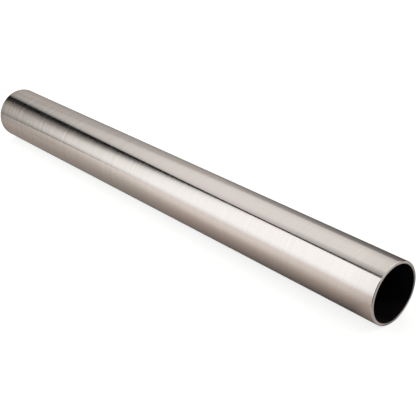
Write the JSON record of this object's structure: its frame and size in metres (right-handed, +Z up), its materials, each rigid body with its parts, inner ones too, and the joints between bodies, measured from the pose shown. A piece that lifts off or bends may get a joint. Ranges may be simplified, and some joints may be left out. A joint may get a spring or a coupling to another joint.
{
  "type": "closet rod",
  "caption": "Short round closet rod: a plain satin nickel tube, cut square and open at both ends, that drops into end sockets and carries hangers.",
  "frame": {"origin": "the middle of the tube's length, on its axis", "axes": "+X along the tube's axis towards its right end, +Z up, -Y to the front"},
  "size_m": [0.3264, 0.0332, 0.0334],
  "materials": {
    "satin_nickel": "satin nickel plating brushed round the tube"
  },
  "bodies": {
    "root": {"tube": "satin_nickel"}
  },
  "joints": []
}
